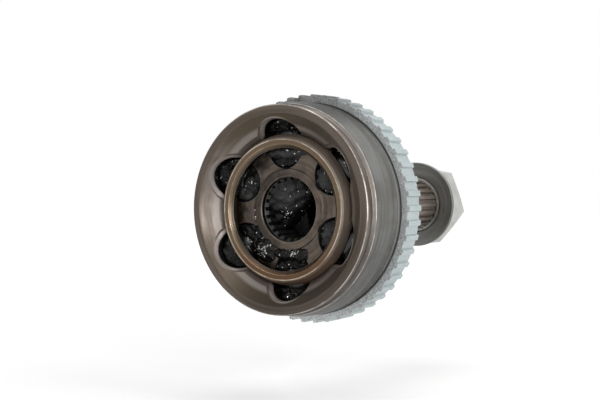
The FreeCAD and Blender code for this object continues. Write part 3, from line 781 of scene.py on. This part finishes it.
def make_bead_scatter():
    """Small beads of grease set in clusters on a skin, by density, size and seed."""
    tree = bpy.data.node_groups.new("grease_beads", "GeometryNodeTree")
    face = tree.interface
    face.new_socket("Geometry", in_out="INPUT", socket_type="NodeSocketGeometry")
    for label, kind in (("Density", "NodeSocketFloat"), ("Bead Radius", "NodeSocketFloat"),
                        ("Cluster Scale", "NodeSocketFloat"), ("Seed", "NodeSocketInt")):
        face.new_socket(label, in_out="INPUT", socket_type=kind)
    face.new_socket("Geometry", in_out="OUTPUT", socket_type="NodeSocketGeometry")
    starts = tree.nodes.new("NodeGroupInput").outputs
    ends = tree.nodes.new("NodeGroupOutput").inputs
    noise = tree.nodes.new("ShaderNodeTexNoise")
    tree.links.new(starts["Cluster Scale"], noise.inputs["Scale"])
    noise.inputs["Detail"].default_value = 1.0
    cluster = tree.nodes.new("ShaderNodeMapRange")
    cluster.inputs[1].default_value = 0.42
    cluster.inputs[2].default_value = 0.60
    tree.links.new(noise.outputs["Fac"], cluster.inputs[0])
    marked = tree.nodes.new("GeometryNodeInputNamedAttribute")
    marked.data_type = "FLOAT"
    marked.inputs["Name"].default_value = "gleam"
    share = tree.nodes.new("ShaderNodeMath")
    share.operation = "MULTIPLY"
    tree.links.new(marked.outputs["Attribute"], share.inputs[0])
    tree.links.new(cluster.outputs[0], share.inputs[1])
    amount = tree.nodes.new("ShaderNodeMath")
    amount.operation = "MULTIPLY"
    tree.links.new(starts["Density"], amount.inputs[0])
    tree.links.new(share.outputs[0], amount.inputs[1])
    spread = tree.nodes.new("GeometryNodeDistributePointsOnFaces")
    tree.links.new(starts["Geometry"], spread.inputs["Mesh"])
    tree.links.new(amount.outputs[0], spread.inputs["Density"])
    tree.links.new(starts["Seed"], spread.inputs["Seed"])
    bead = tree.nodes.new("GeometryNodeMeshIcoSphere")
    bead.inputs["Subdivisions"].default_value = 2
    tree.links.new(starts["Bead Radius"], bead.inputs["Radius"])
    smooth = tree.nodes.new("GeometryNodeSetShadeSmooth")
    tree.links.new(bead.outputs["Mesh"], smooth.inputs["Geometry"])
    size = tree.nodes.new("FunctionNodeRandomValue")
    size.data_type = "FLOAT_VECTOR"
    size.inputs[0].default_value = (0.4, 0.35, 0.15)
    size.inputs[1].default_value = (2.7, 1.5, 0.40)
    tree.links.new(starts["Seed"], size.inputs["Seed"])
    lean = tree.nodes.new("FunctionNodeRandomValue")
    lean.data_type = "FLOAT_VECTOR"
    lean.inputs[0].default_value = (-0.5, -0.5, -3.1)
    lean.inputs[1].default_value = (0.5, 0.5, 3.1)
    tree.links.new(starts["Seed"], lean.inputs["Seed"])
    leaning = tree.nodes.new("FunctionNodeEulerToRotation")
    tree.links.new(lean.outputs[0], leaning.inputs[0])
    facing = tree.nodes.new("FunctionNodeRotateRotation")
    facing.rotation_space = "LOCAL"
    tree.links.new(spread.outputs["Rotation"], facing.inputs["Rotation"])
    tree.links.new(leaning.outputs[0], facing.inputs["Rotate By"])
    placed = tree.nodes.new("GeometryNodeInstanceOnPoints")
    tree.links.new(spread.outputs["Points"], placed.inputs["Points"])
    tree.links.new(smooth.outputs[0], placed.inputs["Instance"])
    tree.links.new(facing.outputs[0], placed.inputs["Rotation"])
    tree.links.new(size.outputs[0], placed.inputs["Scale"])
    real = tree.nodes.new("GeometryNodeRealizeInstances")
    tree.links.new(placed.outputs[0], real.inputs[0])
    both = tree.nodes.new("GeometryNodeJoinGeometry")
    for source, material in ((real.outputs[0], grease_gleam), (starts["Geometry"], black_grease)):
        coat = tree.nodes.new("GeometryNodeSetMaterial")
        coat.inputs["Material"].default_value = material
        tree.links.new(source, coat.inputs["Geometry"])
        tree.links.new(coat.outputs[0], both.inputs[0])
    tree.links.new(both.outputs[0], ends[0])
    return tree


bead_scatter = make_bead_scatter()


def add_grease(name, skins, body, seed):
    """One mesh of all the grease that rides on a body, with its beads."""
    points, faces, count = [], [], 0
    for skin_points, skin_faces in skins:
        points.append(skin_points)
        faces.append(skin_faces + count)
        count += len(skin_points)
    points, faces = np.vstack(points), np.vstack(faces)
    mesh = bpy.data.meshes.new(name)
    mesh.from_pydata(points.tolist(), [], faces.tolist())
    mesh.shade_smooth()
    mesh.attributes.new("dull_sheen", "FLOAT", "POINT").data.foreach_set(
        "value", dull_sheen(points).astype(np.float32))
    mesh.attributes.new("gleam", "FLOAT", "POINT").data.foreach_set(
        "value", gleam(points).astype(np.float32))
    piece = bpy.data.objects.new(name, mesh)
    bpy.context.scene.collection.objects.link(piece)
    modifier = piece.modifiers.new("beads", "NODES")
    modifier.node_group = bead_scatter
    sockets = {item.name: item.identifier for item in bead_scatter.interface.items_tree
               if item.in_out == "INPUT"}
    modifier[sockets["Density"]] = bead_density
    modifier[sockets["Bead Radius"]] = bead_radius
    modifier[sockets["Cluster Scale"]] = bead_cluster_scale
    modifier[sockets["Seed"]] = seed
    evaluated = piece.evaluated_get(bpy.context.evaluated_depsgraph_get())
    plain = bpy.data.meshes.new_from_object(evaluated)
    piece.modifiers.clear()
    piece.data = plain
    bpy.data.meshes.remove(mesh)
    plain.name = name
    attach(piece, body)


def mouth_space(seed):
    """Room of the grease between a ball, the bell's track and the mouth."""
    def outside(points):
        front = -0.0090 - 0.50 * (points[:, 0] - 0.033)
        front = front + 0.0030 * lumpiness(points, 0.0075, seed) - 0.0012
        front = front + 0.0008 * lumpiness(points, 0.0026, seed + 20)
        walls = tube_wall(points, track_offset, track_tube_radius - grease_clearance)
        cage_side = cage_outer_radius + cage_clearance - np.linalg.norm(points, axis=1)
        return np.maximum.reduce([walls, cage_side, front - points[:, 1],
                                  points[:, 1] + 0.002])

    return outside


def notch_space(seed):
    """Room of the grease between a ball, the race's track and the race's front."""
    def outside(points):
        front = -0.0064 - 0.0026 * lumpiness(points, 0.0068, seed)
        front = front + 0.0008 * lumpiness(points, 0.0024, seed + 20)
        walls = tube_wall(points, -track_offset, track_tube_radius - grease_clearance)
        cage_side = np.linalg.norm(points, axis=1) - race_radius
        return np.maximum.reduce([walls, cage_side, front - points[:, 1],
                                  points[:, 1] + 0.001])

    return outside


mouth_middle = np.array([0.0345, -0.0068, 0.0])
notch_middle = np.array([0.0225, -0.0040, 0.0])
race_skins = []
for index, ball_name in enumerate(sorted(ball_names)):
    angle = first_track_angle + index * track_spacing
    mouth_points, mouth_faces = fill_space(mouth_middle, mouth_space(index), 0.016)
    add_grease(f"grease_{ball_name}", [(turn_round_axis(mouth_points, angle), mouth_faces)],
               ball_name, index + 5)
    notch_points, notch_faces = fill_space(notch_middle, notch_space(index + 40), 0.014)
    race_skins.append((turn_round_axis(notch_points, angle), notch_faces))


def outside_bank(points):
    """Bank of grease that fills the upper left of the bore, with a sloping front."""
    depth = points[:, 2] * 0.647 - points[:, 0] * 0.762 - 0.00142
    edge = 0.0020 * (lumpiness(points, 0.0050, 81) - 0.55)
    front = 0.0040 - 0.80 * depth
    front = front - 0.0030 * (lumpiness(points, 0.0080, 82) - 0.5)
    front = front - 0.0004 * (lumpiness(points, 0.0026, 83) - 0.5)
    wall = np.hypot(points[:, 0], points[:, 2]) - bore_grease_radius
    entry = -0.0062 - points[:, 1]
    return np.maximum.reduce([wall, edge - depth, front - points[:, 1], entry,
                              points[:, 1] - 0.0110])


def smear_on_face(angle, radius, length, width, thickness, seed):
    """Smear on the front face of the race, as an uneven pat about a point."""
    out = np.array([math.cos(angle), 0.0, math.sin(angle)])
    round_axis = np.array([-math.sin(angle), 0.0, math.cos(angle)])
    middle = out * radius + np.array([0.0, race_front_height - 0.0001, 0.0])

    def outside(points):
        away = points - middle
        share = np.hypot(away @ round_axis / length, away @ out / width)
        share = share + 0.40 * (lumpiness(points * np.array([1, 0, 1]), 0.0058, seed) - 0.6)
        height = thickness * (1.0 - share ** 2)
        height = height * (0.70 + 0.5 * lumpiness(points * np.array([1, 0, 1]), 0.0036, seed + 7))
        front = race_front_height - height
        ball = np.linalg.norm(points, axis=1) - race_radius
        return np.maximum.reduce([front - points[:, 1], points[:, 1] - race_front_height
                                  - 0.0008, ball])

    return fill_space(middle, outside, 0.016)


race_smears = (
    (92, 0.0238, 0.0120, 0.0024, 0.0020, 61),
    (152, 0.0240, 0.0030, 0.0022, 0.0012, 62),
    (-124, 0.0210, 0.0058, 0.0050, 0.0026, 64),
    (-96, 0.0190, 0.0060, 0.0026, 0.0020, 65),
    (-72, 0.0200, 0.0040, 0.0030, 0.0014, 66),
    (178, 0.0172, 0.0014, 0.0006, 0.0006, 67),
    (-168, 0.0173, 0.0016, 0.0007, 0.0007, 68),
    (-150, 0.0174, 0.0022, 0.0008, 0.0008, 69),
)
race_skins += [smear_on_face(math.radians(turn), *sizes) for turn, *sizes in race_smears]
race_skins.append(fill_space(np.array([-0.0055, 0.0070, 0.0045]), outside_bank, 0.022, 6))
add_grease("grease_race", race_skins, "inner_race", 3)


# Washer of the hub nut
# A thin turned steel washer that the nut carries on its collar, phosphated nearly black.
# Its face keeps the arcs of the facing cut, with a painted sheen that varies along them.

washer_colour = (0.220, 0.226, 0.214)
washer_shade_colour = (0.126, 0.126, 0.122)
washer_stain_colour = (0.16, 0.15, 0.14)
washer_worn_colour = (0.480, 0.480, 0.464)


def make_washer_steel():
    material, tree, shader = start_material("washer_steel", 1.0)
    marks = use_group(tree, turning_marks, Pitch=0.00035, Reach=1.2)
    patch = use_group(tree, stain, Scale=120.0)["Mask"]
    # Arcs of the facing cut, partly a painted sheen round the washer.
    colour = mix_of(tree, marks["Broad"], washer_shade_colour, washer_colour)
    colour = mix_of(tree, times(tree, patch, 0.4), colour, washer_stain_colour)
    wear = use_group(tree, edge_wear, Width=0.00035, Grain=400.0)["Mask"]
    colour = mix_of(tree, times(tree, wear, 0.5), colour, washer_worn_colour)
    feed(tree, colour, shader.inputs["Base Color"])
    feed(tree, math_of(tree, "ADD", 0.36, times(tree, marks["Fine"], 0.16)),
         shader.inputs["Roughness"])
    raise_marks(tree, shader, marks["Fine"], 0.00002)
    return material


finish_node("nut_washer", make_washer_steel())


# Hub nut
# A forged hexagon nut with a conical flange, zinc plated pale and warm. It screws on the
# end of the stub and clamps the wheel hub against the bell's shoulder.

nut_zinc_colour = (0.560, 0.568, 0.545)
nut_dull_colour = (0.410, 0.412, 0.385)
nut_worn_colour = (0.74, 0.74, 0.71)
nut_dirt_colour = (0.120, 0.105, 0.085)


def make_nut_zinc():
    material, tree, shader = start_material("nut_zinc", 0.85)
    coordinates = tree.nodes.new("ShaderNodeTexCoord").outputs["Object"]
    crystals = fade_of(tree, noise_of(tree, coordinates, 1300.0, 4.0, 0.7), 0.35, 0.68)
    cloud = fade_of(tree, noise_of(tree, coordinates, 130.0, 4.0), 0.36, 0.66)
    colour = mix_of(tree, cloud, nut_dull_colour, nut_zinc_colour)
    colour = mix_of(tree, times(tree, crystals, 0.25), colour, nut_dull_colour)
    # Painted shade and dirt in the recesses of the nut.
    dirt_and_shade = use_group(tree, crevice_dirt_and_shade, Reach=0.0022)["Mask"]
    colour = mix_of(tree, times(tree, dirt_and_shade, 0.7), colour, nut_dirt_colour)
    wear = use_group(tree, edge_wear, Width=0.0004, Grain=350.0)["Mask"]
    colour = mix_of(tree, times(tree, wear, 0.6), colour, nut_worn_colour)
    feed(tree, colour, shader.inputs["Base Color"])
    feed(tree, math_of(tree, "ADD", 0.34, times(tree, cloud, 0.12)),
         shader.inputs["Roughness"])
    raise_marks(tree, shader, crystals, 0.00003)
    return material


finish_node("hub_nut", make_nut_zinc())


# Studio
# A white floor in a white room, with soft lamps: a broad panel by the camera, one high on
# the right, one overhead, and two small ones that make the grease gleam.

floor_height = -0.085
floor_reach = 6.0
floor_tone = 0.82
near_floor_glow = 0.36
far_floor_glow = 0.64
glow_start_distance = 0.10
glow_end_distance = 0.90
room_tone = 0.45


def background_rays(tree):
    """One where the camera, metal or glass looks at the background, else nought."""
    rays = tree.nodes.new("ShaderNodeLightPath").outputs
    return math_of(tree, "MAXIMUM", rays["Is Camera Ray"], math_of(
        tree, "MAXIMUM", rays["Is Glossy Ray"], rays["Is Transmission Ray"]))


def make_floor_white():
    material, tree, shader = start_material("floor_white", 0.0)
    shader.inputs["Base Color"].default_value = (floor_tone, floor_tone, floor_tone, 1.0)
    shader.inputs["Roughness"].default_value = 1.0
    shader.inputs["Specular IOR Level"].default_value = 0.0
    away = use_group(tree, turned_place)["Across Floor"]
    glow = fade_of(tree, away, glow_start_distance, glow_end_distance, near_floor_glow,
                   far_floor_glow)
    feed(tree, glow, shader.inputs["Emission Strength"])
    seen = mix_of(tree, background_rays(tree), (0.0, 0.0, 0.0), (1.0, 1.0, 1.0))
    feed(tree, seen, shader.inputs["Emission Color"])
    return material


floor_mesh = bpy.data.meshes.new("floor")
floor_mesh.from_pydata([(-floor_reach, -floor_reach, floor_height),
                        (floor_reach, -floor_reach, floor_height),
                        (floor_reach, floor_reach, floor_height),
                        (-floor_reach, floor_reach, floor_height)], [], [[0, 1, 2, 3]])
floor_mesh.materials.append(make_floor_white())
floor = bpy.data.objects.new("floor", floor_mesh)
bpy.context.scene.collection.objects.link(floor)

world = bpy.data.worlds.new("studio_room")
bpy.context.scene.world = world
world.use_nodes = True
room = world.node_tree
feed(room, mix_of(room, background_rays(room), (room_tone, room_tone, room_tone),
                  (1.0, 1.0, 1.0)), room.nodes["Background"].inputs["Color"])
room.nodes["Background"].inputs["Strength"].default_value = 1.0


def add_panel(name, direction, distance, width, height, brightness):
    """Soft panel that faces the joint. Its brightness is that of its lit surface."""
    lamp_data = bpy.data.lights.new(name, "AREA")
    lamp_data.shape = "RECTANGLE"
    lamp_data.size = width
    lamp_data.size_y = height
    lamp_data.energy = brightness * math.pi * width * height
    lamp = bpy.data.objects.new(name, lamp_data)
    away = Vector(direction).normalized()
    lamp.location = away * distance
    lamp.rotation_mode = "QUATERNION"
    lamp.rotation_quaternion = away.to_track_quat("Z", "Y")
    bpy.context.scene.collection.objects.link(lamp)


panels = (
    ("panel_front", (0.72, -0.70, 0.14), 1.1, 0.80, 0.42, 3.6),
    ("panel_right", (0.85, 0.05, 0.66), 1.0, 0.50, 0.50, 3.2),
    ("panel_top", (0.05, -0.05, 1.00), 1.2, 0.70, 0.60, 2.4),
    ("gleam_high", (0.05, -0.80, 0.62), 0.9, 0.045, 0.045, 80.0),
    ("gleam_side", (0.80, -0.55, 0.35), 0.9, 0.040, 0.040, 80.0),
)
for panel in panels:
    add_panel(*panel)


# Camera
# It looks into the mouth from the right of the axis and a little above it, from nearly half
# a metre away, so that ring, stub and nut show behind the bell.

camera_azimuth = math.radians(33.35)
camera_elevation = math.radians(1.06)
camera_distance = 0.450
focal_pixels = 1066.0
image_width_pixels = 600.0
sensor_width = 36.0
view_right_shift = -0.00030
view_up_shift = -0.00380

right = Vector((math.cos(camera_azimuth), math.sin(camera_azimuth), 0.0))
forward = Vector((-math.sin(camera_azimuth) * math.cos(camera_elevation),
                  math.cos(camera_azimuth) * math.cos(camera_elevation),
                  -math.sin(camera_elevation)))
up = right.cross(forward)
camera_data = bpy.data.cameras.new("camera")
camera_data.sensor_width = sensor_width
camera_data.lens = focal_pixels * sensor_width / image_width_pixels
camera_data.clip_start = 0.01
camera_data.clip_end = 20.0
camera = bpy.data.objects.new("camera", camera_data)
camera.matrix_world = Matrix.Translation(
    -right * view_right_shift - up * view_up_shift - forward * camera_distance
) @ Matrix((right, up, -forward)).transposed().to_4x4()
bpy.context.scene.collection.objects.link(camera)
bpy.context.scene.camera = camera
bpy.context.scene.view_settings.view_transform = "Standard"
